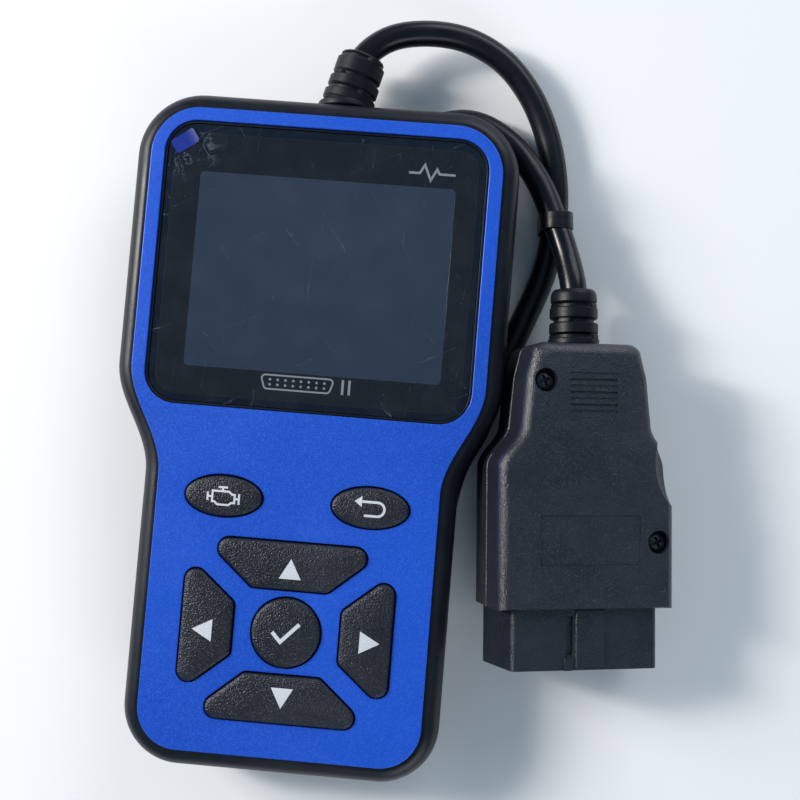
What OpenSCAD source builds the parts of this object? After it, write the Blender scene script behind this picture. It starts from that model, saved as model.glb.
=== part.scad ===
// Handheld OBD code reader lying face up, with its lead wrapped once round the
// case under the rim and its 16-way vehicle plug beside it.
// Millimetres, +Z up, +Y towards the lead. Origin: middle of the case, on the table.

/* [Case] */
// Width of the case across the screen end
body_w = 100; // [98:0.5:101]
// Width of the case across the keypad end
grip_w = 81; // [80:0.5:82]
// Length of the case without the lead
body_l = 173; // [172:0.5:174]
// Width of the black rim around the coloured face
rim_w = 4.5; // [4:0.1:5]
// Wall thickness of both case halves
wall = 2.2; // [1.8:0.1:2.4]

/* [Keypad] */
// Stroke of every key
key_travel = 0.9; // [0.6:0.1:0.9]
// Height of a key above the coloured face
key_proud = 1.4; // [1:0.1:1.8]
// Gap between a key and the edge of its hole
key_gap = 0.35; // [0.3:0.05:0.45]
// Diameter of the round centre key
ok_d = 17.4; // [16.8:0.2:17.8]

/* [Lead] */
// Outer diameter of the lead
cable_d = 6.8; // [6.4:0.1:6.8]
// Lean of the case's strain relief towards the lead
gland_lean = 14; // [10:1:18]

/* [Plug] */
// Width of the plug housing
plug_w = 46; // [45:0.5:47]
// Length of the plug housing
plug_l = 66.5; // [65:0.5:67]
// Thickness of the plug housing
plug_t = 24; // [23:0.5:24.5]
// Roll of the plug about its own length
plug_roll = 14; // [12:1:15]

/* [Hidden] */
$fn = 48;
eps = 0.05;

// Heights of the stack, from the table up
part_z = 12;           // where the two case halves meet
board_z = 15.2;        // underside of the circuit board
board_t = 1.6;
plate_z = 20.6;        // underside of the front shell's top plate
seat_z = 22.4;         // where the coloured face panel sits
face_z = 24;           // top of the coloured face panel
lens_z = 21.5;         // underside of the lens
lens_t = 1.7;
film_t = 0.15;
fit = 0.15;            // clearance round a fitted plate

// Case outline
top_r = 17;            // corner radius at the screen end
end_r = 15;            // corner radius at the keypad end
waist_y0 = -13;        // the sides curve inwards between these two
waist_y1 = 15;
foot_in = 7.4;         // how far the foot of the rear shell is set in
foot_r = 20;           // corner radius of the foot

// Screen, centred on x = 0
lens_w = 82.4;
lens_y0 = 5.9;
lens_y1 = 77.8;
lens_r = 7.5;
bezel = 0.8;           // raised ring of the front shell round the lens
lcd_w = 76;
lcd_y0 = 12.6;
lcd_y1 = 68.4;

// Keys: heights shared by all seven, then the distance of each from the case's middle
plunger_z = board_z + board_t + 0.4 + key_travel;
flange_z = plunger_z + 0.8;
flange_top_z = flange_z + 1;
key_edge = 0.6;        // step between a key's side and its top
keypad_y = -50.4;
edge_keys_y = -17.4;
edge_keys_x = 18.7;
oval_a = 9.8;
oval_b = 5.15;

// Screws through the rear shell
screw_xy = [[26, 72], [27.5, -3], [25.5, -69.5]];

// Lead: the point where it leaves the case, and the plug's frame
gland_at = [2.5, 86.7, 12.5];
plug_at = [72, -38, 16.6];
plug_yaw = 4;
plug_r = 3;            // rounding of the housing's long edges
shroud_l = 15;
pin_pitch = 4;
pin_rows = 4;          // distance of each row of pins from the middle
plug_screw_xy = [[-11.4, 56.8], [18.5, 16.7]];

// Route of the lead's centre line, from inside the case's strain relief,
// over the table, once round the case under its rim, over itself, to the plug
route = [
    [4, 95.5, 12.5], [6.5, 102, 12.5], [13, 107.5, 12], [23, 110, 11], [34, 109.5, 9],
    [44, 105, 7], [52, 96.5, 5.5], [57.5, 85.5, 4.6], [60.5, 73, 4.4], [61, 61, 4.4],
    [59, 48, 3.7], [54.5, 35, 3.5], [49.2, 21, 3.4], [44.4, 5, 3.4], [39.8, -5, 3.4],
    [37.2, -18, 3.4], [37, -59, 3.4], [33.8, -71, 3.4], [25, -79.8, 3.4], [13, -83, 3.4],
    [-13, -83, 3.4], [-25, -79.8, 3.4], [-33.8, -71, 3.4], [-37, -59, 3.4], [-37.2, -18, 3.4],
    [-39.8, -5, 3.4], [-44.8, 5, 3.4], [-47, 17, 3.4], [-46.5, 59, 3.4], [-43.3, 71, 3.4],
    [-34.5, 79.8, 3.4], [-22.5, 83.3, 3.4], [18, 84.8, 3.5], [36, 88.6, 4.3], [46.5, 83.5, 6.6],
    [55, 73, 10.2], [60.5, 61.5, 11.8], [64, 52.5, 13.5], [66.2, 44, 16.1], [66.7, 38, 16.6]
];
tube_sides = 10;

// ---------------------------------------------------------------- outlines

function arc(cx, cy, r, a0, a1, n) =
    [for (i = [0:n]) let (a = a0 + (a1 - a0) * i / n) [cx + r * cos(a), cy + r * sin(a)]];

// A right-hand half outline, mirrored to the left and joined into a ring
function both_sides(right) =
    concat(right, [for (i = [len(right) - 1:-1:0]) [-right[i].x, right[i].y]]);

// A smooth step from a (at t = 0) to b (at t = 1)
function ease(a, b, t) = a + (b - a) * (1 - cos(180 * t)) / 2;

// The case outline, set in by d, with its own corner radii
function case_outline(d, rt = -1, re = -1) =
    let (
        r1 = rt < 0 ? top_r - d : rt,
        r2 = re < 0 ? end_r - d : re,
        wide = body_w / 2 - d,
        slim = grip_w / 2 - d,
        half = body_l / 2 - d
    )
    both_sides(concat(
        arc(slim - r2, -half + r2, r2, -90, 0, 10),
        [for (i = [0:10]) [ease(slim, wide, i / 10), waist_y0 + (waist_y1 - waist_y0) * i / 10]],
        arc(wide - r1, half - r1, r1, 0, 90, 10)
    ));

// The plug housing's outline, set in by d at its sides and rear end, starting at y0
function plug_outline(d, y0 = 0) =
    let (wide = plug_w / 2 - d, neck = 17.2 - d, tip = 12 - d)
    both_sides(concat(
        [[wide, y0]],
        [for (i = [0:8]) [ease(wide, neck, i / 8), 35 + 11 * i / 8]],
        [[neck - 1.2, 58]],
        arc(tip - 1, plug_l - 4 - d, 4, 35, 90, 4)
    ));

// A rounded rectangle between two corners
function soft_rect(x0, y0, x1, y1, r) = concat(
    arc(x1 - r, y0 + r, r, -90, 0, 8), arc(x1 - r, y1 - r, r, 0, 90, 8),
    arc(x0 + r, y1 - r, r, 90, 180, 8), arc(x0 + r, y0 + r, r, 180, 270, 8)
);

// One rounded corner of a polygon, at b between a and c
function soft_corner(a, b, c, r) =
    let (
        u = (a - b) / norm(a - b),
        v = (c - b) / norm(c - b),
        half = acos(u * v) / 2,
        m = (u + v) / norm(u + v),
        o = b + m * r / sin(half),
        p = b + u * r / tan(half) - o,
        a0 = atan2(p.y, p.x)
    )
    [for (i = [0:5]) let (t = a0 + (180 - 2 * half) * i / 5) o + r * [cos(t), sin(t)]];

// An arrow key: a trapezoid with its long edge outwards, grown by g all round.
// depth is its size towards the middle, short half its inner edge, slope its end angle
function arrow_shape(depth, short, slope, g) =
    let (
        run = depth / tan(slope),
        long = short + run,
        grow = g / tan(slope / 2),
        trim = g * tan(slope / 2),
        p = [[-short - trim, -g], [short + trim, -g], [long + grow, depth + g], [-long - grow, depth + g]]
    )
    concat(
        soft_corner(p[3], p[0], p[1], 1.8 + g), soft_corner(p[0], p[1], p[2], 1.8 + g),
        soft_corner(p[1], p[2], p[3], 2.8 + g), soft_corner(p[2], p[3], p[0], 2.8 + g)
    );

function oval(g) = [for (i = [0:47]) [(oval_a + g) * cos(i * 7.5), (oval_b + g) * sin(i * 7.5)]];

// ------------------------------------------------------------ solid makers

// A closed solid through rings of equally many points: [[z, ring], ...]
module loft(layers) {
    n = len(layers[0][1]);
    points = [for (l = layers, p = l[1]) [p.x, p.y, l[0]]];
    sides = [
        for (k = [0:len(layers) - 2], i = [0:n - 1])
            let (j = (i + 1) % n, a = k * n, b = a + n)
            each [[a + i, b + i, b + j], [a + i, b + j, a + j]]
    ];
    base = [for (i = [0:n - 1]) i];
    top = [for (i = [n - 1:-1:0]) (len(layers) - 1) * n + i];
    polyhedron(points, concat([base], sides, [top]), convexity = 6);
}

// Keeps what lies between two heights, so that both ends are single flat faces
module between(z0, z1) {
    intersection() {
        children();
        translate([-150, -150, z0]) cube([300, 300, z1 - z0]);
    }
}

module slab(z0, z1, ring) {
    translate([0, 0, z0]) linear_extrude(z1 - z0) polygon(ring);
}

module at_screws() {
    for (p = screw_xy, s = [-1, 1]) translate([s * p.x, p.y, 0]) children();
}

// Places children in the plug's own frame: +Y towards its lead, +Z its top
module in_plug() {
    translate(plug_at) rotate([0, 0, plug_yaw]) rotate([0, plug_roll, 0]) children();
}

// Turns a profile of [radius, distance] about the local Y axis
module turned_along_y(profile) {
    rotate([-90, 0, 0]) rotate_extrude() polygon(profile);
}

// ------------------------------------------------------------ keypad shapes

// Hands the outline of each key, grown by g, to its place on the face
module up_shape(g) {
    translate([0, keypad_y + 10.7]) polygon(arrow_shape(12, 9.6, 40.4, g));
}
module down_shape(g) {
    translate([0, keypad_y - 10.7]) rotate(180) polygon(arrow_shape(12, 9.6, 40.4, g));
}
module left_shape(g) {
    translate([-13.7, keypad_y]) rotate(90) polygon(arrow_shape(13, 6.5, 50, g));
}
module right_shape(g) {
    translate([13.7, keypad_y]) rotate(-90) polygon(arrow_shape(13, 6.5, 50, g));
}
module ok_shape(g) {
    translate([0, keypad_y]) circle(d = ok_d + 2 * g);
}
module codes_shape(g) {
    translate([-edge_keys_x, edge_keys_y]) polygon(oval(g));
}
module back_shape(g) {
    translate([edge_keys_x, edge_keys_y]) polygon(oval(g));
}

// All seven outlines grown by g, extruded between two heights
module key_cutters(z0, z1, g) {
    translate([0, 0, z0]) linear_extrude(z1 - z0) {
        up_shape(g);
        down_shape(g);
        left_shape(g);
        right_shape(g);
        ok_shape(g);
        codes_shape(g);
        back_shape(g);
    }
}

// One key: flange under the plate, body through the hole, stepped top edge
module key_stack() {
    top = face_z + key_proud;
    translate([0, 0, flange_z]) linear_extrude(flange_top_z - flange_z) children(0);
    translate([0, 0, flange_top_z - eps]) linear_extrude(top - key_edge - flange_top_z + eps) children(1);
    translate([0, 0, top - key_edge - eps]) linear_extrude(key_edge + eps) children(2);
}

module plunger(x, y) {
    translate([x, y, plunger_z]) cylinder(d = 5, h = flange_z - plunger_z + eps);
}

// ---------------------------------------------------------------- sub-parts

module front_shell() {
    color("#15181f") difference() {
        between(part_z, 23.5) loft([
            [part_z - 1, case_outline(1.5)], [13.2, case_outline(0.2)], [15, case_outline(0)],
            [18.4, case_outline(0)], [20.2, case_outline(0.4)], [21.8, case_outline(1.3)],
            [22.9, case_outline(2.5)], [24.1, case_outline(5.3)]
        ]);
        // hollow, from below
        slab(part_z - 1, plate_z, case_outline(wall + 0.4));
        // seat of the face panel, leaving the ring round the lens
        difference() {
            slab(seat_z, face_z, case_outline(rim_w - fit));
            slab(seat_z - 1, face_z + 1, soft_rect(
                -lens_w / 2 - bezel + fit, lens_y0 - bezel + fit,
                lens_w / 2 + bezel - fit, lens_y1 + bezel - fit, lens_r + bezel - fit));
        }
        // lens seat and window
        slab(lens_z, face_z, soft_rect(
            -lens_w / 2 - 0.1, lens_y0 - 0.1, lens_w / 2 + 0.1, lens_y1 + 0.1, lens_r + 0.1));
        slab(plate_z - 1, lens_z + 1, soft_rect(-37.5, lcd_y0 + 1, 37.5, lcd_y1 - 1, 2));
        key_cutters(plate_z - 1, face_z, key_gap);
        // hole for the strain relief's neck
        translate([gland_at.x, gland_at.y + 2, gland_at.z]) rotate([90, 0, 0]) cylinder(d = 9.6, h = 8);
    }
    // screw pillars
    color("#15181f") at_screws() difference() {
        translate([0, 0, board_z + board_t]) cylinder(d = 6, h = plate_z - board_z - board_t + eps);
        translate([0, 0, board_z]) cylinder(d = 2.7, h = 4.6);
    }
}

module face_panel() {
    color("#1c4fc4") difference() {
        slab(seat_z + 0.05, face_z, case_outline(rim_w));
        slab(seat_z - 1, face_z + 1, soft_rect(
            -lens_w / 2 - bezel, lens_y0 - bezel, lens_w / 2 + bezel, lens_y1 + bezel, lens_r + bezel));
        key_cutters(seat_z - 1, face_z + 1, key_gap);
    }
}

module rear_shell() {
    color("#14171d") difference() {
        union() {
            between(0, part_z) loft([
                [-0.4, case_outline(foot_in + 2, foot_r - 2, foot_r - 2)],
                [0.4, case_outline(foot_in + 0.4, foot_r - 0.4, foot_r - 0.4)],
                [1.3, case_outline(foot_in, foot_r, foot_r)],
                [7.2, case_outline(foot_in, foot_r, foot_r)],
                [9.2, case_outline(5, 18, 17)], [10.8, case_outline(2.8, 17, 15)],
                [part_z + 1.2, case_outline(-1, 15.2, 13.2)]
            ]);
            at_screws() translate([0, 0, 2]) cylinder(d = 7.4, h = board_z - 2);
        }
        difference() {
            between(wall, part_z + 2) loft([
                [0, case_outline(foot_in + wall, foot_r - wall, foot_r - wall)],
                [7.6, case_outline(foot_in + wall, foot_r - wall, foot_r - wall)],
                [16.4, case_outline(-3.4, 10, 6)]
            ]);
            at_screws() cylinder(d = 7.4, h = board_z);
        }
        at_screws() {
            translate([0, 0, -1]) cylinder(d = 5.8, h = 4.2);
            cylinder(d = 3.2, h = board_z + 1);
        }
        translate([gland_at.x, gland_at.y + 2, gland_at.z]) rotate([90, 0, 0]) cylinder(d = 9.6, h = 8);
        translate([gland_at.x, 83.2, gland_at.z]) rotate([90, 0, 0]) cylinder(d = 13.4, h = 4);
        // recess for the label
        translate([-28.2, 0.8, -1]) cube([56.4, 38.4, 1.4]);
    }
}

module rear_label() {
    color("#b9bcc0") translate([-28, 1, 0.1]) cube([56, 38, 0.3]);
}

module screen_lens() {
    color("#10141c") slab(lens_z, lens_z + lens_t, soft_rect(
        -lens_w / 2, lens_y0, lens_w / 2, lens_y1, lens_r));
}

module screen_film() {
    color("#8fa3b8", 0.4) slab(lens_z + lens_t, lens_z + lens_t + film_t, soft_rect(
        -lens_w / 2 + 1.8, lens_y0 + 1.8, lens_w / 2 - 1.8, lens_y1 - 2.3, lens_r - 1.8));
}

module film_tab() {
    color("#1f3fd0") translate([-37, 73, lens_z + lens_t + film_t]) rotate(35)
        slab(0, 0.2, soft_rect(-3.6, -2, 3.6, 2, 0.6));
}

module lcd_glass() {
    color("#2b3a48") translate([-35.5, lcd_y0 + 1.5, 20.4]) cube([71, lcd_y1 - lcd_y0 - 3, 1]);
}

module lcd_frame() {
    color("#9aa0a6") difference() {
        translate([-lcd_w / 2, lcd_y0, 16.9]) cube([lcd_w, lcd_y1 - lcd_y0, 3.6]);
        translate([-35.7, lcd_y0 + 1.3, 20.35]) cube([71.4, lcd_y1 - lcd_y0 - 2.6, 1]);
    }
}

module display_ribbon() {
    // leaves the display's lower edge, turns down and lies flat on the board
    top = board_z + board_t;
    color("#b9762c") translate([-11, 0, 0]) rotate([90, 0, 90]) linear_extrude(22) polygon(concat(
        [[lcd_y0, 19.425]], arc(10.6, 18.175, 1.25, 90, 180, 6), arc(8.35, top + 1.25, 1, 0, -90, 6),
        [[5.4, top + 0.25], [5.4, top]], arc(8.35, top + 1.25, 1.25, -90, 0, 6),
        arc(10.6, 18.175, 1, 180, 90, 6), [[lcd_y0, 19.175]]
    ));
}

module main_board() {
    color("#1d6b3c") difference() {
        slab(board_z, board_z + board_t, case_outline(4));
        translate([-60, 78, board_z - 1]) cube([120, 20, 4]);
        at_screws() translate([0, 0, board_z - 1]) cylinder(d = 3.4, h = 4);
    }
}

module board_chips() {
    z = board_z;
    color("#1b1b1e") {
        translate([-8, 30, z - 1.4]) cube([14, 14, 1.4]);
        translate([14, 34, z - 1.6]) cube([8, 5.3, 1.6]);
        translate([-26, 34, z - 1.5]) cube([10, 6, 1.5]);
        translate([12, 56, z - 1.6]) cube([8, 6, 1.6]);
        translate([-20, 56, z - 2.2]) cube([6.6, 6.2, 2.2]);
        translate([-8, 12, z - 3.4]) cube([11, 4.4, 3.4]);
        translate([20, 12, z - 2.6]) cube([8, 8, 2.6]);
    }
}

module board_socket() {
    color("#e8e6de") translate([-5.5, 66, 9.4]) difference() {
        cube([16, 8, board_z - 9.4]);
        translate([1.2, 4, 1.2]) cube([13.6, 5, 3.4]);
    }
}

module buzzer() {
    color("#101012") translate([-16, -56, 10]) difference() {
        cylinder(d = 12, h = board_z - 10);
        translate([0, 0, -1]) cylinder(d = 2, h = 2.4);
    }
}

module contact_pads() {
    color("#c9a24a") for (p = [
        [0, keypad_y + 16.2], [0, keypad_y - 16.2], [-19.6, keypad_y], [19.6, keypad_y],
        [0, keypad_y], [-edge_keys_x, edge_keys_y], [edge_keys_x, edge_keys_y]
    ]) translate([p.x, p.y, board_z + board_t]) cylinder(d = 6, h = 0.08);
}

module lead_wires() {
    color("#a33a30") for (i = [0:3])
        translate([gland_at.x - 2.25 + 1.5 * i, 70, gland_at.z]) rotate([-90, 0, 0])
            cylinder(d = 1.2, h = gland_at.y - 6.2 - 70, $fn = 24);
}

module keypad_mat() {
    color("#23252b") difference() {
        slab(board_z + board_t + 0.1, board_z + board_t + 1.4, soft_rect(-33.5, -78, 33.5, -9, 8));
        key_cutters(board_z, flange_z, 0.8);
        at_screws() cylinder(d = 7, h = 30);
    }
}

module up_key() {
    color("#22242a") key_stack() { up_shape(0.5); up_shape(0); up_shape(-key_edge); }
    color("#22242a") plunger(0, keypad_y + 16.2);
}
module down_key() {
    color("#22242a") key_stack() { down_shape(0.5); down_shape(0); down_shape(-key_edge); }
    color("#22242a") plunger(0, keypad_y - 16.2);
}
module left_key() {
    color("#22242a") key_stack() { left_shape(0.5); left_shape(0); left_shape(-key_edge); }
    color("#22242a") plunger(-19.6, keypad_y);
}
module right_key() {
    color("#22242a") key_stack() { right_shape(0.5); right_shape(0); right_shape(-key_edge); }
    color("#22242a") plunger(19.6, keypad_y);
}
module ok_key() {
    color("#22242a") key_stack() { ok_shape(0.5); ok_shape(0); ok_shape(-key_edge); }
    color("#22242a") plunger(0, keypad_y);
}
module codes_key() {
    color("#22242a") key_stack() { codes_shape(0.5); codes_shape(0); codes_shape(-key_edge); }
    color("#22242a") plunger(-edge_keys_x, edge_keys_y);
}
module back_key() {
    color("#22242a") key_stack() { back_shape(0.5); back_shape(0); back_shape(-key_edge); }
    color("#22242a") plunger(edge_keys_x, edge_keys_y);
}

module case_screws() {
    color("#8d9095") at_screws() difference() {
        union() {
            translate([0, 0, 1.3]) cylinder(d = 5.2, h = 1.9);
            translate([0, 0, 3]) cylinder(d = 2.6, h = 16);
        }
        for (a = [0, 90]) rotate(a) translate([-1.6, -0.3, 1]) cube([3.2, 0.6, 1.4]);
    }
}

module case_gland() {
    color("#1a1d22") translate(gland_at) {
        turned_along_y([[0, -6.2], [6.4, -6.2], [6.4, -3.6], [4.7, -3.6], [4.7, 0.1], [7.3, 0.1],
            [7.3, 1.6], [6.9, 2.2], [0, 2.2]]);
        translate([0, 1.4, 0]) rotate([0, 0, -gland_lean]) turned_along_y([
            [0, 0], [7, 0], [6.9, 2.6], [6.1, 3], [6.1, 4], [6.8, 4.4], [6.6, 6.8], [5.9, 7.2],
            [5.9, 8.2], [6.6, 8.6], [6.3, 12.6], [5.4, 14], [0, 14]
        ]);
    }
}

// Centripetal spline through the route, sampled k times a stretch
function lerp(a, b, t) = a + (b - a) * t;
function knot(a, b) = sqrt(norm(b - a));
function spline_at(p, i, u) =
    let (
        last = len(p) - 1,
        p1 = p[i],
        p2 = p[i + 1],
        p0 = i > 0 ? p[i - 1] : 2 * p1 - p2,
        p3 = i + 2 <= last ? p[i + 2] : 2 * p2 - p1,
        t1 = knot(p0, p1),
        t2 = t1 + knot(p1, p2),
        t3 = t2 + knot(p2, p3),
        t = t1 + (t2 - t1) * u,
        a1 = lerp(p0, p1, t / t1),
        a2 = lerp(p1, p2, (t - t1) / (t2 - t1)),
        a3 = lerp(p2, p3, (t - t2) / (t3 - t2)),
        b1 = lerp(a1, a2, t / t2),
        b2 = lerp(a2, a3, (t - t1) / (t3 - t1))
    )
    lerp(b1, b2, (t - t1) / (t2 - t1));
function spline(p, k) = concat(
    [for (i = [0:len(p) - 2], j = [0:k - 1]) spline_at(p, i, j / k)], [p[len(p) - 1]]);

// A round tube of radius r along points, with flat ends
module tube(path, r, n) {
    m = len(path);
    points = [
        for (i = [0:m - 1])
            let (
                d = path[min(i + 1, m - 1)] - path[max(i - 1, 0)],
                t = d / norm(d),
                s = cross(t, [0, 0, 1]) / norm(cross(t, [0, 0, 1])),
                u = cross(s, t)
            )
            for (j = [0:n - 1]) path[i] + r * (cos(360 * j / n) * s + sin(360 * j / n) * u)
    ];
    sides = [
        for (i = [0:m - 2], j = [0:n - 1])
            let (k = (j + 1) % n, a = i * n, b = a + n)
            each [[a + j, a + k, b + k], [a + j, b + k, b + j]]
    ];
    first = [for (j = [n - 1:-1:0]) j];
    last = [for (j = [0:n - 1]) (m - 1) * n + j];
    polyhedron(points, concat([first], sides, [last]), convexity = 8);
}

module cable() {
    color("#15181d") tube(spline(route, 2), cable_d / 2, tube_sides);
}

module cable_tie() {
    // a band round both strands where the lead crosses itself
    reach = cable_d / 2 + 0.5;
    color("#0d0e10") translate([60.9, 61.5, 0]) rotate([0, 0, 6]) rotate([90, 0, 0])
        linear_extrude(4.4, center = true) difference() {
            union() {
                translate([0, reach + 0.6]) circle(r = reach + 0.6);
                translate([0, 15.6 - reach]) circle(r = reach + 0.6);
                translate([-reach - 0.6, reach + 0.6]) square([2 * reach + 1.2, 15 - 2 * reach]);
            }
            translate([0, reach + 0.6]) circle(r = reach);
            translate([0, 15.6 - reach]) circle(r = reach);
            translate([-reach, reach + 0.6]) square([2 * reach, 15 - 2 * reach]);
        }
}

// Half of the plug housing, from its middle plane up
module plug_half() {
    h = plug_t / 2;
    difference() {
        between(0.05, h) loft([
            [-1, plug_outline(0)], [h - plug_r, plug_outline(0.2)], [h - 1.2, plug_outline(0.9)],
            [h - 0.3, plug_outline(1.9)], [h + 0.3, plug_outline(2 * plug_r - 1.9)]
        ]);
        difference() {
            slab(-1, h - wall, plug_outline(plug_r, wall));
            // thicker wall behind the thumb hollow
            translate([14.5, 23, -2]) cube([10, 26, plug_t]);
        }
        // hole for the strain relief
        translate([0, plug_l + 5, 0]) rotate([90, 0, 0]) cylinder(d = 9.6, h = 12);
    }
}

// The mouth that the shroud passes through, cut in both shells
module plug_mouth() {
    translate([0, 3, 0]) rotate([90, 0, 0]) linear_extrude(10) shroud_outline(fit);
}

module plug_top_shell() {
    h = plug_t / 2;
    color("#2d313b") in_plug() difference() {
        union() {
            plug_half();
            for (p = plug_screw_xy) translate([p.x, p.y, 0.3]) cylinder(d = 6.8, h = h - wall);
        }
        plug_mouth();
        for (p = plug_screw_xy) translate([p.x, p.y, 0]) {
            cylinder(d = 2.8, h = h + 1);
            translate([0, 0, h - 3.2]) cylinder(d = 5.9, h = 4);
        }
        // grip lines, label recess and thumb hollow
        for (i = [0:6]) translate([-5.2, 48.8 + 1.57 * i, h - 0.5]) cube([12.6, 0.8, 1]);
        translate([-12.8, 11, h - 0.3]) cube([26.4, 12.4, 1]);
        translate([31, 36, 3]) cylinder(r = 14, h = h);
    }
}

module plug_bottom_shell() {
    h = plug_t / 2;
    color("#262a33") in_plug() difference() {
        union() {
            mirror([0, 0, 1]) plug_half();
            for (p = plug_screw_xy) translate([p.x, p.y, wall - 0.3 - h]) cylinder(d = 6.8, h = h - wall + 0.2);
        }
        plug_mouth();
        for (p = plug_screw_xy) translate([p.x, p.y, -8]) cylinder(d = 2.2, h = 9);
    }
}

// The shroud's D shape grown by g: the narrow long side is the top
module shroud_outline(g) {
    h = 9.3 + g;
    top = 19 + g;
    foot = 22 + g;
    p = [[-foot, -h], [foot, -h], [top, h], [-top, h]];
    polygon(concat(
        soft_corner(p[3], p[0], p[1], 2.4), soft_corner(p[0], p[1], p[2], 2.4),
        soft_corner(p[1], p[2], p[3], 1.6), soft_corner(p[2], p[3], p[0], 1.6)
    ));
}

module plug_shroud() {
    color("#20242c") in_plug() {
        difference() {
            rotate([90, 0, 0]) translate([0, 0, -2]) linear_extrude(shroud_l + 2) shroud_outline(0);
            rotate([90, 0, 0]) translate([0, 0, 2]) linear_extrude(shroud_l) shroud_outline(-1.5);
            // slot and keyway lines on the narrow side
            translate([-5.1, -11.4, 8.4]) cube([1.9, 10, 2]);
            translate([-3, -14.4, 9]) difference() {
                translate([0, -2, 0]) cube([8.4, 15.2, 1]);
                translate([0.5, -3, -1]) cube([7.4, 15.7, 3]);
            }
        }
        // carrier block behind the floor
        translate([-17, 1.95, -7]) cube([34, 8, 14]);
        // lug at the mouth
        translate([-5.6, -shroud_l, 9.25]) cube([2.2, 3, 0.6]);
    }
}

module contact_pins() {
    color("#c8c9cc") in_plug() for (i = [0:7], s = [-1, 1])
        translate([(i - 3.5) * pin_pitch - 0.75, -12.5, s * pin_rows - 0.35]) cube([1.5, 10.5, 0.7]);
}

module plug_gland() {
    color("#1a1d22") in_plug() translate([0, plug_l, 0]) turned_along_y([
        [0, -6], [6.4, -6], [6.4, -3.4], [4.7, -3.4], [4.7, 0.1], [6.6, 0.1], [6.6, 1.6], [5.4, 2],
        [5.4, 3], [6.3, 3.4], [6.2, 5.6], [5.2, 6], [5.2, 7], [6.2, 7.4], [6.1, 9.6], [5.1, 10],
        [5.1, 11], [6, 11.4], [5.9, 13.4], [5.2, 14.5], [0, 14.5]
    ]);
}

module plug_screws() {
    h = plug_t / 2;
    color("#3a3b40") in_plug() for (p = plug_screw_xy) translate([p.x, p.y, 0]) difference() {
        union() {
            translate([0, 0, h - 3.2]) cylinder(d = 5, h = 1.9);
            translate([0, 0, -3]) cylinder(d = 2.1, h = h);
        }
        for (a = [20, 110]) rotate(a) translate([-1.5, -0.3, h - 2.2]) cube([3, 0.6, 2]);
    }
}

front_shell();
face_panel();
rear_shell();
rear_label();
screen_lens();
screen_film();
film_tab();
lcd_glass();
lcd_frame();
display_ribbon();
main_board();
board_chips();
board_socket();
buzzer();
contact_pads();
lead_wires();
keypad_mat();
up_key();
down_key();
left_key();
right_key();
ok_key();
codes_key();
back_key();
case_screws();
case_gland();
cable();
cable_tie();
plug_top_shell();
plug_bottom_shell();
plug_shroud();
contact_pins();
plug_gland();
plug_screws();
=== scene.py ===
"""A handheld vehicle code reader lying face up beside its plug, with every visible piece
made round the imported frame. Lengths are in metres, and MM turns a drawing's millimetres into them."""

from math import atan2, cos, pi, radians, sin, sqrt, tan

import bmesh
import bpy
from mathutils import Matrix, Vector
from mathutils.bvhtree import BVHTree


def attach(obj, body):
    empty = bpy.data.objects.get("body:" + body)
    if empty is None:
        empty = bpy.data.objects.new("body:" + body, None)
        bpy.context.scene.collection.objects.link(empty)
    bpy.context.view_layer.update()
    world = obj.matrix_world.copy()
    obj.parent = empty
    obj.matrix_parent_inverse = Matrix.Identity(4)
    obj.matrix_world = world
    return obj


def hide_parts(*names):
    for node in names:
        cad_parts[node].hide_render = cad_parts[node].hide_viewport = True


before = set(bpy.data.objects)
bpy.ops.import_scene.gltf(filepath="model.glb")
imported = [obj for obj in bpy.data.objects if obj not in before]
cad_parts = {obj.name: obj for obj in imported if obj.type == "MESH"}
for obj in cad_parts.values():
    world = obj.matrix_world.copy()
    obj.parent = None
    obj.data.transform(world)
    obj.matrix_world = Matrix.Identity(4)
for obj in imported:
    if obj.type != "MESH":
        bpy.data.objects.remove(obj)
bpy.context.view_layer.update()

# ---- Camera, table and light
# The reader is seen from straight above, a little to the right of its middle. It lies on a
# pale matt table, lit by one large window far to the left and by weaker light all round.

MM = 0.001


def show(name, data):
    """A new object in the scene."""
    thing = bpy.data.objects.new(name, data)
    bpy.context.scene.collection.objects.link(thing)
    return thing


camera = show("camera", bpy.data.cameras.new("camera"))
camera.data.lens = 52.65
camera.data.sensor_width = 36
camera.data.clip_start = 0.01
view_axes = Matrix(((0.996, 0.082, -0.0344), (-0.0802, 0.9955, 0.0497), (0.0383, -0.0468, 0.9982)))
camera.matrix_world = Matrix.Translation((0.0353, -0.0034, 0.3204)) @ view_axes.transposed().to_4x4()
bpy.context.scene.camera = camera
bpy.context.scene.view_settings.view_transform = "Standard"


def soft_light(name, place, aim, width, height, power, colour):
    """A rectangular soft box that faces a point."""
    lamp = bpy.data.lights.new(name, "AREA")
    lamp.shape = "RECTANGLE"
    lamp.size = width
    lamp.size_y = height
    lamp.energy = power
    lamp.color = colour
    holder = show(name, lamp)
    holder.location = place
    holder.rotation_euler = (Vector(aim) - Vector(place)).to_track_quat("-Z", "Y").to_euler()


soft_light("window_light", (-0.95, 0.3, 0.62), (0, 0, 0), 0.42, 0.5, 11, (1.0, 0.97, 0.94))
soft_light("window_core", (-0.94, 0.24, 0.68), (0, 0, 0), 0.12, 0.24, 7, (1.0, 0.95, 0.91))
soft_light("far_fill", (0.5, 1.0, 0.6), (0.02, 0, 0), 0.9, 0.6, 6.5, (0.93, 0.96, 1.0))
soft_light("near_fill", (0.55, -0.95, 0.55), (0.02, 0, 0), 0.9, 0.6, 5, (0.95, 0.97, 1.0))

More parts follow.
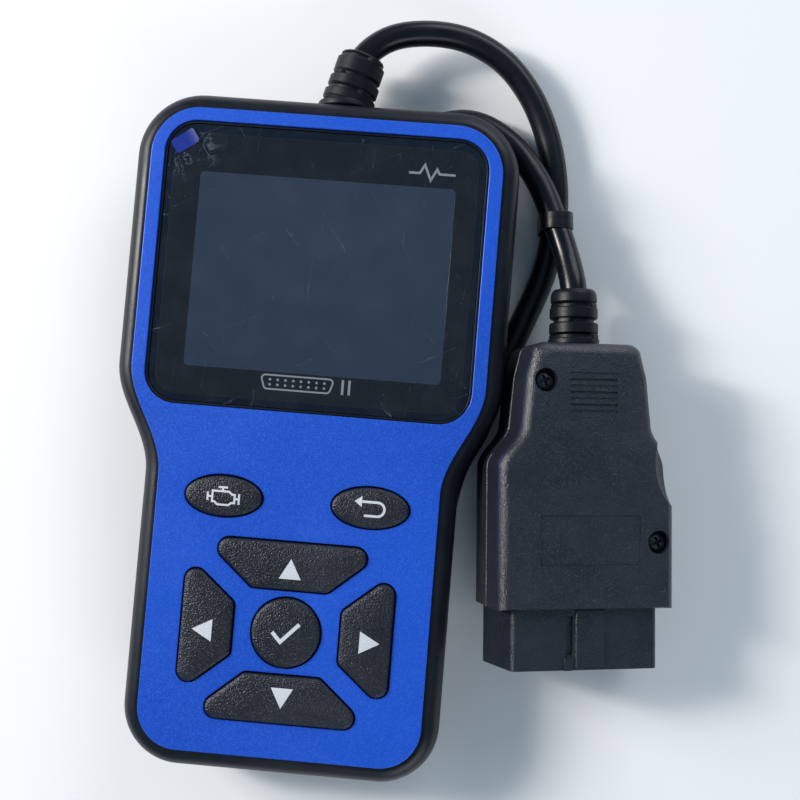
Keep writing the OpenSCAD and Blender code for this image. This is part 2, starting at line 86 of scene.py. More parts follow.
world = bpy.data.worlds.new("room")
world.use_nodes = True
world.node_tree.nodes["Background"].inputs["Color"].default_value = (0.5, 0.75, 1.0, 1)
world.node_tree.nodes["Background"].inputs["Strength"].default_value = 0.3
bpy.context.scene.world = world


def start_material(name):
    """A new material, its node tree and its Principled shader."""
    material = bpy.data.materials.new(name)
    material.use_nodes = True
    return material, material.node_tree, material.node_tree.nodes["Principled BSDF"]


def add_node(tree, kind, **values):
    """A shader node with its settings, and its unlinked sockets by name with _ for a space."""
    node = tree.nodes.new("ShaderNode" + kind)
    for key, value in values.items():
        socket = node.inputs.get(key.replace("_", " "))
        if socket is not None:
            socket.default_value = value
        else:
            setattr(node, key, value)
    return node


def feed(value, socket):
    """Links a node's result into a socket, or sets the socket to a number or colour."""
    if isinstance(value, bpy.types.NodeSocket):
        socket.id_data.links.new(value, socket)
    elif value is not None:
        socket.default_value = value


def stretched(value, low, high, to_low=0.0, to_high=1.0):
    """A node's result from low to high, stretched to another range and held inside it."""
    node = add_node(
        value.id_data, "MapRange", From_Min=low, From_Max=high, To_Min=to_low, To_Max=to_high
    )
    feed(value, node.inputs["Value"])
    return node.outputs["Result"]


table_paint, tree, shader = start_material("table_paint")
mottle = add_node(tree, "TexNoise", Scale=30.0, Detail=4.0)
feed(stretched(mottle.outputs["Fac"], 0.0, 1.0, 0.78, 0.84), shader.inputs["Base Color"])
shader.inputs["Roughness"].default_value = 0.85
shader.inputs["Specular IOR Level"].default_value = 0.2
bpy.ops.mesh.primitive_plane_add(size=5, location=(0, 0, -0.0001))
table = bpy.context.object
table.name = "table"
table.data.materials.append(table_paint)

# ---- Lead
# A round two-wire lead with a soft black vinyl jacket, 6.8 mm thick. It leaves the far end of
# the case, bends round beside it, runs once round the case under the rim and goes to the plug.


def spline_through(points, steps):
    """Points along a centripetal curve through given ones, with steps to each stretch."""
    points = [Vector(p) for p in points]
    whole = [2 * points[0] - points[1], *points, 2 * points[-1] - points[-2]]
    line = []
    for p0, p1, p2, p3 in zip(whole, whole[1:], whole[2:], whole[3:]):
        t1 = sqrt((p1 - p0).length)
        t2 = t1 + sqrt((p2 - p1).length)
        t3 = t2 + sqrt((p3 - p2).length)
        for step in range(steps):
            t = t1 + (t2 - t1) * step / steps
            a1 = p0 + (p1 - p0) * (t / t1)
            a2 = p1 + (p2 - p1) * ((t - t1) / (t2 - t1))
            a3 = p2 + (p3 - p2) * ((t - t2) / (t3 - t2))
            b1 = a1 + (a2 - a1) * (t / t2)
            b2 = a2 + (a3 - a2) * ((t - t1) / (t3 - t1))
            line.append(b1 + (b2 - b1) * ((t - t1) / (t2 - t1)))
    return line + [points[-1]]


def shader_effect(name, inputs, outputs):
    """A shader node group with named number inputs and outputs, shared by several finishes."""
    tree = bpy.data.node_groups.new(name, "ShaderNodeTree")
    for socket, value in inputs.items():
        made = tree.interface.new_socket(socket, in_out="INPUT", socket_type="NodeSocketFloat")
        made.default_value = value
    for socket in outputs:
        tree.interface.new_socket(socket, in_out="OUTPUT", socket_type="NodeSocketFloat")
    return tree, tree.nodes.new("NodeGroupInput"), tree.nodes.new("NodeGroupOutput")


def arithmetic(how, first, second=None):
    """A Math node over other nodes' results and numbers, and its result."""
    tree = (first if isinstance(first, bpy.types.NodeSocket) else second).id_data
    node = add_node(tree, "Math", operation=how)
    feed(first, node.inputs[0])
    feed(second, node.inputs[1])
    return node.outputs[0]


def upwards(tree):
    """How far the surface faces up: 1 when it lies flat, 0 when it stands."""
    normal = add_node(tree, "NewGeometry").outputs["Normal"]
    facing = add_node(tree, "SeparateXYZ")
    feed(normal, facing.inputs["Vector"])
    return facing.outputs["Z"]


def local_node(tree, kind, **values):
    """A shader node that works on the piece's own coordinates."""
    node = add_node(tree, kind, **values)
    feed(add_node(tree, "TexCoord").outputs["Object"], node.inputs["Vector"])
    return node


# Grain cut into a mould by spark erosion: small soft craters, Size across in millimetres
tree, given, result = shader_effect("spark_grain", {"Size": 0.3}, ["Height", "Speck"])
pitch = arithmetic("DIVIDE", 1000.0, given.outputs["Size"])
lumps = local_node(tree, "TexNoise", Detail=2.0, Roughness=0.62)
craters = local_node(tree, "TexVoronoi", feature="SMOOTH_F1", Smoothness=0.4)
for texture in (lumps, craters):
    feed(pitch, texture.inputs["Scale"])
half_craters = arithmetic("MULTIPLY", craters.outputs["Distance"], 0.5)
feed(arithmetic("ADD", lumps.outputs["Fac"], half_craters), result.inputs["Height"])
feed(lumps.outputs["Fac"], result.inputs["Speck"])
spark_grain = tree

# Handling marks and dust: Smudge is a soft cloud from fingers, Dust lies on what faces up
tree, given, result = shader_effect("handling", {"Dust": 0.3}, ["Smudge", "Dust"])
cloud = local_node(tree, "TexNoise", Scale=38.0, Detail=5.0, Roughness=0.6, Distortion=0.8)
motes = local_node(tree, "TexVoronoi", Scale=560.0, Randomness=1.0)
haze = local_node(tree, "TexNoise", Scale=90.0, Detail=6.0, Roughness=0.75)
chance = add_node(tree, "SeparateColor")
feed(motes.outputs["Color"], chance.inputs["Color"])
mote = arithmetic("LESS_THAN", motes.outputs["Distance"], 0.065)
rare = arithmetic("GREATER_THAN", chance.outputs["Red"], 0.95)
up = arithmetic("MAXIMUM", upwards(tree), 0.0)
veil = stretched(haze.outputs["Fac"], 0.45, 0.8, 0.0, 0.07)
seen = arithmetic("ADD", arithmetic("MULTIPLY", mote, rare), veil)
dust = arithmetic("MULTIPLY", arithmetic("MULTIPLY", seen, up), given.outputs["Dust"])
feed(dust, result.inputs["Dust"])
feed(cloud.outputs["Fac"], result.inputs["Smudge"])
handling = tree


def use_effect(tree, effect, **values):
    """Places a shared effect in a material with its own values."""
    return add_node(tree, "Group", node_tree=effect, **values)


def blended(share, first, second):
    """Colour that goes from first to second as share goes from 0 to 1."""
    mix = add_node(share.id_data, "Mix", data_type="RGBA")
    feed(share, mix.inputs["Factor"])
    for value, socket in ((first, mix.inputs["A"]), (second, mix.inputs["B"])):
        feed((*value, 1) if isinstance(value, tuple) else value, socket)
    return mix.outputs["Result"]


def dusted(shader, marks, colour, dust_colour):
    """Gives the shader its colour, with the dust from handling over it."""
    feed(blended(marks.outputs["Dust"], colour, dust_colour), shader.inputs["Base Color"])


def smudged(marks, low, high):
    """Roughness that the smudges move between low and high."""
    return stretched(marks.outputs["Smudge"], 0.3, 0.7, low, high)


def bumped(shader, height, depth):
    """Turns a height into the shader's normal, with depth in mm."""
    bump = add_node(shader.id_data, "Bump", Strength=1.0, Distance=depth * MM)
    feed(height, bump.inputs["Height"])
    feed(bump.outputs["Normal"], shader.inputs["Normal"])


def moulded(name, dark, light, roughness, grain, depth, dust=0.3, gloss=0.36):
    """A moulded plastic or rubber: two shades of its colour, grain size and depth in mm."""
    material, tree, shader = start_material(name)
    grained = use_effect(tree, spark_grain, Size=grain)
    marks = use_effect(tree, handling, Dust=dust)
    shade = arithmetic("MULTIPLY", marks.outputs["Smudge"], grained.outputs["Speck"])
    colour = blended(stretched(shade, 0.12, 0.4), dark, light)
    dusted(shader, marks, colour, (0.42, 0.42, 0.44))
    worn = smudged(marks, roughness - 0.07, roughness + 0.07)
    rough = arithmetic("ADD", worn, marks.outputs["Dust"])
    feed(rough, shader.inputs["Roughness"])
    bumped(shader, grained.outputs["Height"], depth)
    shader.inputs["Specular IOR Level"].default_value = gloss
    return material


lead_route = [
    (4, 95.5, 12.5), (6.5, 102, 12.5), (13, 107.5, 12), (23, 110, 11), (34, 109.5, 9),
    (44, 105, 7), (52, 96.5, 5.5), (57.5, 85.5, 4.6), (60.5, 73, 4.4), (61, 61, 4.4),
    (59, 48, 3.7), (54.5, 35, 3.5), (49.2, 21, 3.4), (44.4, 5, 3.4), (39.8, -5, 3.4),
    (37.2, -18, 3.4), (37, -59, 3.4), (33.8, -71, 3.4), (25, -79.8, 3.4), (13, -83, 3.4),
    (-13, -83, 3.4), (-25, -79.8, 3.4), (-33.8, -71, 3.4), (-37, -59, 3.4), (-37.2, -18, 3.4),
    (-39.8, -5, 3.4), (-44.8, 5, 3.4), (-47, 17, 3.4), (-46.5, 59, 3.4), (-43.3, 71, 3.4),
    (-34.5, 79.8, 3.4), (-22.5, 83.3, 3.4), (18, 84.8, 3.5), (36, 88.6, 4.3), (46.5, 83.5, 6.6),
    (55, 73, 10.2), (60.5, 61.5, 11.8), (64, 52.5, 13.5), (66.2, 44, 16.1), (66.7, 38, 16.6),
]
lead_diameter = 6.8 * MM
lead_line = [p * MM for p in spline_through(lead_route, 7)]
lead_curve = bpy.data.curves.new("lead", "CURVE")
lead_curve.dimensions = "3D"
lead_curve.bevel_depth = lead_diameter / 2
lead_curve.bevel_resolution = 7
lead_curve.use_fill_caps = True
track = lead_curve.splines.new("POLY")
track.points.add(len(lead_line) - 1)
for point, at in zip(track.points, lead_line):
    point.co = (*at, 1)
lead = show("lead", lead_curve)
lead_jacket = moulded(
    "lead_jacket", (0.002, 0.003, 0.0055), (0.0045, 0.006, 0.0105), 0.3,
    grain=0.9, depth=0.016, dust=0.15, gloss=0.28,
)
lead_curve.materials.append(lead_jacket)
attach(lead, "case")
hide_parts("cable")

# ---- Strain reliefs
# Two ribbed black rubber boots moulded on the lead: one clamped in the case's far wall and
# leaning the way the lead goes, one in the plug. Each groove is bridged at two places, turn about.


def placed(x, y, z, turn=0):
    """The frame of something at a place in mm, turned about Z by degrees."""
    return Matrix.Translation(Vector((x, y, z)) * MM) @ Matrix.Rotation(radians(turn), 4, "Z")


CASE_EXIT = (2.5, 86.7, 12.5)
PLUG_LENGTH = 66.5
plug_frame = placed(72, -38, 16.6, 4) @ Matrix.Rotation(radians(14), 4, "Y")


def show_mesh(name, shape):
    """A bmesh as a new object in the scene."""
    mesh = bpy.data.meshes.new(name)
    shape.to_mesh(mesh)
    shape.free()
    return show(name, mesh)


def add_solid(name, shape, frame_matrix=None):
    """Turns a bmesh drawn in millimetres into an object in metres, with its faces outwards."""
    if frame_matrix is None:
        frame_matrix = Matrix.Identity(4)
    bmesh.ops.recalc_face_normals(shape, faces=shape.faces)
    bmesh.ops.transform(shape, matrix=frame_matrix @ Matrix.Scale(MM, 4), verts=shape.verts)
    return show_mesh(name, shape)


def loft(rings, shape=None, looped=False):
    """A closed solid through rings of equally many points, added to shape if it is given.
    It has an end on its first and last rings, or goes on from the last to the first if looped."""
    shape = shape or bmesh.new()
    rows = [[shape.verts.new(p) for p in ring] for ring in rings]
    count = len(rows[0])
    for low, high in zip(rows, rows[1:] + (rows[:1] if looped else [])):
        for i in range(count):
            j = (i + 1) % count
            shape.faces.new((low[i], low[j], high[j], high[i]))
    if not looped:
        shape.faces.new(rows[0][::-1])
        shape.faces.new(rows[-1])
    return shape


def soften(solid, corner, width):
    """Smooths a solid's shading up to a corner angle, and rounds sharper edges by width in mm."""
    if width:
        rounding = solid.modifiers.new("rounding", "BEVEL")
        rounding.width = width * MM
        rounding.segments = 2
        rounding.limit_method = "ANGLE"
        rounding.angle_limit = radians(corner)
        rounding.harden_normals = False
    solid.data.shade_smooth()
    solid.data.set_sharp_from_angle(angle=radians(corner))
    shading = solid.modifiers.new("shading", "WEIGHTED_NORMAL")
    shading.keep_sharp = True


def put_on(solid, finish, slot, *nodes, body="case", corner=32, width=0.0):
    """Softens a piece if it has a corner angle, gives it its finish, says which body it
    rides on, and hides the imported nodes that it stands for."""
    if corner:
        soften(solid, corner, width)
    solid.data.materials.clear()
    solid.data.materials.append(finish)
    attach(solid, body)
    if nodes:
        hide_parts(*nodes)


def boot(name, neck, ribs, tip, frame_matrix):
    """A turned strain relief. neck is a profile of (distance, radius); ribs are
    (start, end, radius, groove radius after it); tip is the profile that ends it."""
    profile = [(y, r, r, 0) for y, r in neck]
    chamfer = 0.25
    for turn, (start, end, radius, groove) in enumerate(ribs):
        bridged = radius - 0.15
        profile += [
            (start, radius - chamfer, radius - chamfer, turn),
            (start + chamfer, radius, radius, turn),
            (end - chamfer, radius, radius, turn),
            (end, radius - chamfer, radius - chamfer, turn),
            (end + 0.05, groove, bridged, turn),
            (end + 0.85, groove, bridged, turn),
        ]
    profile += [(y, r, r, 0) for y, r in tip]
    rings = []
    for y, low, high, turn in profile:
        ring = []
        for i in range(80):
            angle = 2 * pi * i / 80
            bridge = min(1, max(0, (abs(cos(angle + turn * pi / 2 + pi / 4)) - 0.93) / 0.04))
            radius = low + (high - low) * bridge
            ring.append((radius * cos(angle), y, -radius * sin(angle)))
        rings.append(ring)
    return add_solid(name, loft(rings), frame_matrix)


boot_rubber = moulded(
    "boot_rubber", (0.002, 0.003, 0.0055), (0.0045, 0.006, 0.0105), 0.46,
    grain=0.5, depth=0.03, dust=0.15, gloss=0.25,
)
case_collar = boot(
    "case_boot_collar",
    [(-6.2, 6.2), (-6, 6.4), (-3.8, 6.4), (-3.6, 6.2), (-3.6, 4.7), (0.1, 4.7), (0.1, 7), (0.4, 7.3)],
    [],
    [(1.4, 7.3), (1.9, 7.1), (2.2, 6.7)],
    placed(*CASE_EXIT),
)
case_boot = boot(
    "case_boot",
    [(0.2, 6.6)],
    [(0.6, 3.0, 7.0, 6.1), (4.2, 6.9, 6.8, 5.9), (8.1, 12.2, 6.5, 5.5)],
    [(13.3, 5.9), (13.7, 5.7), (14, 5.2)],
    placed(*CASE_EXIT, -14) @ placed(0, 1.4, 0),
)
plug_boot = boot(
    "plug_boot",
    [(-6, 6.2), (-5.8, 6.4), (-3.6, 6.4), (-3.4, 6.2), (-3.4, 4.7), (0.1, 4.7), (0.1, 6.4)],
    [(0.2, 1.8, 6.6, 5.4), (3.0, 5.8, 6.3, 5.2), (7.0, 9.8, 6.2, 5.1)],
    [(11.1, 5.7), (11.35, 6.0), (13.2, 5.9), (14, 5.6), (14.5, 5.1)],
    plug_frame @ placed(0, PLUG_LENGTH, 0),
)
for piece, node in ((case_boot, "case_gland"), (case_collar, "case_gland"), (plug_boot, "plug_gland")):
    put_on(piece, boot_rubber, "gland_rubber", node, corner=30)

# ---- Lead tie
# A flat black band, 4.4 mm wide, round both runs of the lead where they cross, with its
# ends pinched flat together on the outer side.

TIE_AT = placed(60.9, 61.5, 0, 6)
TIE_RADIUS = 4.2
LOW_RUN, HIGH_RUN = 4.5, 11.7


def arc(cx, cy, radius, start, end, steps):
    """Points of a circular arc, with its angles in degrees."""
    angles = [radians(start + (end - start) * i / steps) for i in range(steps + 1)]
    return [(cx + radius * cos(a), cy + radius * sin(a)) for a in angles]


tie_path = arc(0, LOW_RUN, TIE_RADIUS, 180, 360, 16) + arc(0, HIGH_RUN, TIE_RADIUS, 0, 180, 16)
tie_rings = []
for i, (x, z) in enumerate(tie_path):
    low, high = tie_path[i - 1], tie_path[(i + 1) % len(tie_path)]
    out = Vector((high[1] - low[1], 0, low[0] - high[0])).normalized()
    middle = Vector((x, 0, z))
    section = [(-2.2, -0.16), (-2.05, -0.26), (2.05, -0.26), (2.2, -0.16), (2.2, 0.12), (2.05, 0.26)]
    section += [(0.4, 0.26), (0, 0.16), (-0.4, 0.26), (-2.05, 0.26), (-2.2, 0.12)]
    tie_rings.append([middle + Vector((0, y, 0)) + out * h for y, h in section])
tie = add_solid("lead_tie", loft(tie_rings, looped=True), TIE_AT)
tie_plastic = moulded(
    "tie_plastic", (0.003, 0.003, 0.005), (0.007, 0.007, 0.01), 0.38, grain=0.6, depth=0.01, dust=0.3
)
put_on(tie, tie_plastic, "tie_black", "cable_tie", corner=50)

# ---- Case, front half
# A black moulding: its rounded rim, about 4.5 mm wide, stands just below the coloured face.
# A plate inside the rim carries the face and the lens, and has the key holes and screw pillars.

BODY_WIDTH, GRIP_WIDTH, BODY_LENGTH = 100.0, 81.0, 173.0
PLATE_Z, SEAT_Z, FACE_Z = 20.6, 22.4, 24.0
RIM_WIDTH = 4.5
LEAD_HOLE = 4.8


def mirrored(right):
    """A right-hand half outline joined to its mirror image into a ring."""
    return right + [(-x, y) for x, y in reversed(right)]


def ease(first, last, share):
    """A smooth step from first to last."""
    return first + (last - first) * (1 - cos(pi * share)) / 2


def case_outline(inset, top_radius=None, end_radius=None):
    """The case seen from above: wide at the screen, narrower at the keys, waisted between."""
    top_radius = 17 - inset if top_radius is None else top_radius
    end_radius = 15 - inset if end_radius is None else end_radius
    wide, slim, half = BODY_WIDTH / 2 - inset, GRIP_WIDTH / 2 - inset, BODY_LENGTH / 2 - inset
    waist = [(ease(slim, wide, i / 22), -13 + 28 * i / 22) for i in range(23)]
    return mirrored(
        arc(slim - end_radius, end_radius - half, end_radius, -90, 0, 16)
        + waist
        + arc(wide - top_radius, half - top_radius, top_radius, 0, 90, 16)
    )


def soft_rect(x0, y0, x1, y1, radius, steps=10):
    """A rounded rectangle between two corners."""
    return (
        arc(x1 - radius, y0 + radius, radius, -90, 0, steps)
        + arc(x1 - radius, y1 - radius, radius, 0, 90, steps)
        + arc(x0 + radius, y1 - radius, radius, 90, 180, steps)
        + arc(x0 + radius, y0 + radius, radius, 180, 270, steps)
    )


def at_height(outline, z):
    return [(x, y, z) for x, y in outline]


def prism(outline, low, high, shape=None):
    """A straight-sided solid between two heights."""
    return loft([at_height(outline, low), at_height(outline, high)], shape)


def final_mesh(thing):
    """The mesh that an object's curve or modifiers come to."""
    bpy.context.view_layer.update()
    return bpy.data.meshes.new_from_object(thing.evaluated_get(bpy.context.evaluated_depsgraph_get()))


def carve(solid, *cutters, how="DIFFERENCE", frame_matrix=None):
    """Takes shapes, bmeshes in millimetres, away from a solid, or adds them to it."""
    tools = [add_solid("cutter", cutter, frame_matrix) for cutter in cutters]
    for tool in tools:
        step = solid.modifiers.new("carve", "BOOLEAN")
        step.object = tool
        step.operation = how
        step.solver = "EXACT"
    carved = final_mesh(solid)
    solid.modifiers.clear()
    solid.data = carved
    for tool in tools:
        bpy.data.objects.remove(tool)
    return solid


def plate(name, outlines, low, high, edge, frame_matrix=None):
    """A flat plate with holes, from its outlines in millimetres, with both its edges rounded."""
    curve = bpy.data.curves.new(name, "CURVE")
    curve.dimensions = "2D"
    curve.fill_mode = "BOTH"
    curve.extrude = (high - low) / 2 - edge
    curve.bevel_depth = edge
    curve.bevel_resolution = 2
    curve.offset = -edge
    for outline in outlines:
        path = curve.splines.new("POLY")
        path.points.add(len(outline) - 1)
        path.use_cyclic_u = True
        for point, (x, y) in zip(path.points, outline):
            point.co = (x, y, 0, 1)
    drawing = show(name, curve)
    flat = final_mesh(drawing)
    bpy.data.objects.remove(drawing)
    shape = bmesh.new()
    shape.from_mesh(flat)
    bpy.data.meshes.remove(flat)
    bmesh.ops.remove_doubles(shape, verts=shape.verts, dist=0.002)
    bmesh.ops.translate(shape, verts=shape.verts, vec=(0, 0, (low + high) / 2))
    return add_solid(name, shape, frame_matrix)


def soft_corner(before, at, after, radius, steps):
    """The points that round one corner of a polygon."""
    before, at, after = Vector(before), Vector(at), Vector(after)
    u, v = (before - at).normalized(), (after - at).normalized()
    half = u.angle(v) / 2
    centre = at + (u + v).normalized() * radius / sin(half)
    first = at + u * radius / tan(half) - centre
    start = atan2(first.y, first.x)
    angles = [start + (pi - 2 * half) * i / steps for i in range(steps + 1)]
    return [(centre.x + radius * cos(a), centre.y + radius * sin(a)) for a in angles]


def soft_polygon(corners, radii, steps=8):
    """A polygon with its corners rounded, each in so many steps."""
    ring = []
    for i, radius in enumerate(radii):
        ring += soft_corner(corners[i - 1], corners[i], corners[(i + 1) % len(corners)], radius, steps)
    return ring


def arrow_outline(depth, short, slope, grow):
    """An arrow key: a trapezoid with its long edge outwards, grown all round."""
    run = depth / tan(radians(slope))
    far, trim = grow / tan(radians(slope / 2)), grow * tan(radians(slope / 2))
    corners = [
        (-short - trim, -grow), (short + trim, -grow),
        (short + run + far, depth + grow), (-short - run - far, depth + grow),
    ]
    return soft_polygon(corners, [radius + grow for radius in (1.8, 1.8, 2.8, 2.8)])


def ellipse(a, b, steps=72):
    return [(a * cos(2 * pi * i / steps), b * sin(2 * pi * i / steps)) for i in range(steps)]


def turned_to(outline, x, y, degrees=0):
    """An outline turned about its own origin and then moved."""
    c, s = cos(radians(degrees)), sin(radians(degrees))
    return [(x + px * c - py * s, y + px * s + py * c) for px, py in outline]


KEYPAD_Y = -50.4
# Each key's body, its outline at a given growth, its place and turn, and its plunger's place
keys = {
    "up": (lambda g: arrow_outline(12, 9.6, 40.4, g), (0, KEYPAD_Y + 10.7, 0), (0, 5.5)),
    "down": (lambda g: arrow_outline(12, 9.6, 40.4, g), (0, KEYPAD_Y - 10.7, 180), (0, 5.5)),
    "left": (lambda g: arrow_outline(13, 6.5, 50, g), (-13.7, KEYPAD_Y, 90), (0, 5.9)),
    "right": (lambda g: arrow_outline(13, 6.5, 50, g), (13.7, KEYPAD_Y, -90), (0, 5.9)),
    "ok": (lambda g: ellipse(8.7 + g, 8.7 + g), (0, KEYPAD_Y, 0), (0, 0)),
    "codes": (lambda g: ellipse(9.8 + g, 5.15 + g), (-18.7, -17.4, 0), (0, 0)),
    "back": (lambda g: ellipse(9.8 + g, 5.15 + g), (18.7, -17.4, 0), (0, 0)),
}
KEY_GAP = 0.35
key_holes = [turned_to(outline(KEY_GAP), *spot) for outline, spot, _ in keys.values()]


def lens_rect(grow):
    """The lens's outline, grown all round."""
    return soft_rect(-41.2 - grow, 5.9 - grow, 41.2 + grow, 77.8 + grow, 7.5 + grow)


lens_hole = lens_rect(0.8)
screw_spots = [(side * x, y) for x, y in ((26, 72), (27.5, -3), (25.5, -69.5)) for side in (-1, 1)]


def disc(x, y, radius, low, high, around=48):
    return prism(turned_to(ellipse(radius, radius, around), x, y), low, high)


def end_prism(outline, start, stop):
    """A straight-sided solid along +Y from an outline in x and z."""
    return loft([[(x, y, z) for x, z in outline] for y in (start, stop)])


def exit_drill(radius, start, end):
    """A round cutter along the lead's way out of the case, between two distances."""
    x, _, z = CASE_EXIT
    return end_prism(turned_to(ellipse(radius, radius, 48), x, z), start, end)


rim_profile = [(0.9, 12.05), (0.5, 12.5), (0.25, 13.1), (0.08, 14), (0, 15), (0, 17)]
rim_profile += [(4.6 * (1 - cos(a)), 18.4 + 5.1 * sin(a)) for a in [radians(6.8 * i) for i in range(13)]]
rim = add_solid("case_front", loft([at_height(case_outline(d), z) for d, z in rim_profile]))
seat = prism(case_outline(RIM_WIDTH - 0.15), SEAT_Z, 25)
carve(rim, prism(case_outline(2.6), 11, PLATE_Z), seat)
lens_seat = lens_rect(0.1)
ring_edge = soft_rect(-41.85, 5.25, 41.85, 78.45, 8.1)
ring = plate("lens_ring", [ring_edge, lens_seat], SEAT_Z - 0.3, 23.5, 0.12)
carve(rim, prism(lens_seat, 21.5, 25), prism(soft_rect(-37.5, 13.6, 37.5, 67.4, 2), 20, 22))
carve(rim, *[prism(hole, PLATE_Z - 1, SEAT_Z + 1) for hole in key_holes])
carve(rim, exit_drill(LEAD_HOLE, 80, 90))
for x, y in screw_spots:
    carve(rim, disc(x, y, 3, 16.8, 20.8), how="UNION")
case_plastic = moulded(
    "case_plastic", (0.0018, 0.0032, 0.0068), (0.0045, 0.0072, 0.0135), 0.4,
    grain=0.34, depth=0.03, dust=0.2, gloss=0.3,
)
for piece in (rim, ring):
    put_on(piece, case_plastic, "case_black", "front_shell")

# ---- Face panel
# A blue lacquered plate glued in the rim. The lacquer is satin with fine metal flakes, and the
# moulded edge round the outside, the lens and the keys is only just broken.

panel = plate("face_panel", [case_outline(RIM_WIDTH), lens_hole, *key_holes], SEAT_Z + 0.05, FACE_Z, 0.2)
face_lacquer, tree, shader = start_material("face_lacquer")
grained = use_effect(tree, spark_grain, Size=0.2)
marks = use_effect(tree, handling, Dust=0.16)
drift = local_node(tree, "TexNoise", Scale=14.0, Detail=3.0)
flakes = local_node(tree, "TexVoronoi", Scale=5200.0)
drifted = stretched(drift.outputs["Fac"], 0.35, 0.65)
lacquer = blended(drifted, (0.003, 0.062, 0.47), (0.005, 0.078, 0.57))
flake = add_node(tree, "SeparateColor")
feed(flakes.outputs["Color"], flake.inputs["Color"])
bright = stretched(flake.outputs["Red"], 0.55, 1.0, 0.0, 0.55)
flaked = blended(bright, lacquer, (0.03, 0.17, 0.82))
dusted(shader, marks, flaked, (0.3, 0.36, 0.5))
feed(smudged(marks, 0.36, 0.46), shader.inputs["Roughness"])
glint = arithmetic("MULTIPLY", flake.outputs["Green"], 0.6)
bumped(shader, arithmetic("ADD", grained.outputs["Height"], glint), 0.006)
shader.inputs["Metallic"].default_value = 0.25
shader.inputs["Coat Weight"].default_value = 0.25
shader.inputs["Coat Roughness"].default_value = 0.3
put_on(panel, face_lacquer, "face_blue", "face_panel")

# ---- Lens
# A glossy acrylic window set flush in its ring. A black border is printed behind it, and the
# switched-off display shows dark slate through the rest. Both have fine scratches and dust.

LENS_BACK, LENS_TOP = 21.52, 23.2
WINDOW = (-32.3, 15.1, 33.7, 65.5)
window_edge = soft_rect(*WINDOW, 1.2)
border = plate("lens_border", [lens_rect(0), window_edge], LENS_BACK, LENS_TOP, 0.12)
window = plate("lens_window", [window_edge], LENS_BACK, LENS_TOP - 0.01, 0.02)


def acrylic(name, dark, light, roughness):
    """Glossy acrylic over a flat colour, with hair scratches, smears and dust."""
    material, tree, shader = start_material(name)
    marks = use_effect(tree, handling, Dust=0.3)
    drift = local_node(tree, "TexNoise", Scale=16.0, Detail=4.0, Roughness=0.6)
    colour = blended(stretched(drift.outputs["Fac"], 0.3, 0.7), dark, light)
    scratched = None
    for turn, stretch in ((25, 0.0021), (-52, 0.0026), (84, 0.0018)):
        lay = local_node(tree, "Mapping", vector_type="TEXTURE")
        lay.inputs["Rotation"].default_value = (0, 0, radians(turn))
        lay.inputs["Scale"].default_value = (0.03, stretch, 1)
        hairs = add_node(tree, "TexNoise", Scale=1.0, Detail=2.0, Distortion=0.6)
        feed(lay.outputs["Vector"], hairs.inputs["Vector"])
        line = arithmetic("ABSOLUTE", arithmetic("SUBTRACT", hairs.outputs["Fac"], 0.7))
        thin = arithmetic("LESS_THAN", line, 0.004)
        scratched = thin if scratched is None else arithmetic("MAXIMUM", scratched, thin)
    faint = arithmetic("MULTIPLY", scratched, 0.09)
    pale = blended(faint, colour, (0.5, 0.58, 0.66))
    dusted(shader, marks, pale, (0.52, 0.56, 0.6))
    worn = smudged(marks, roughness - 0.03, roughness + 0.05)
    dull = arithmetic("MULTIPLY", arithmetic("MAXIMUM", marks.outputs["Dust"], scratched), 0.3)
    feed(arithmetic("ADD", worn, dull), shader.inputs["Roughness"])
    bumped(shader, scratched, 0.002)
    shader.inputs["IOR"].default_value = 1.49
    return material


lens_black = acrylic("lens_black", (0.001, 0.003, 0.0085), (0.0022, 0.006, 0.0145), 0.1)
lens_slate = acrylic("lens_slate", (0.04, 0.07, 0.125), (0.052, 0.088, 0.148), 0.12)
put_on(border, lens_black, "lens_black", "screen_lens")
put_on(window, lens_slate, "lens_black", "screen_lens")

# ---- Lens prints
# Two small silver pictograms on the black border: a sixteen-way diagnostic socket with two
# bars below the display, and a pulse line above its right-hand corner.


def stroke(points, width, low, high, closed=False, shape=None):
    """A printed line of one width along some points, as a thin solid, cut into short lengths."""
    fine = []
    for first, second in zip(points, points[1:] + (points[:1] if closed else [])):
        first, second = Vector(first), Vector(second)
        pieces = max(1, round((second - first).length / 0.5))
        fine += [first.lerp(second, i / pieces) for i in range(pieces)]
    if not closed:
        fine.append(Vector(points[-1]))
    rings = []
    for i, at in enumerate(fine):
        before = at - fine[i - 1] if closed or i else fine[1] - at
        after = fine[(i + 1) % len(fine)] - at if closed or i < len(fine) - 1 else before
        before, after = before.normalized(), after.normalized()
        across = Vector((-before.y - after.y, before.x + after.x)).normalized()
        reach = width / 2 / max(0.45, across.dot(Vector((-before.y, before.x))))
        left, right = at + across * reach, at - across * reach
        corners = ((left, low), (right, low), (right, high), (left, high))
        rings.append([(side.x, side.y, z) for side, z in corners])
    return loft(rings, shape, looped=closed)


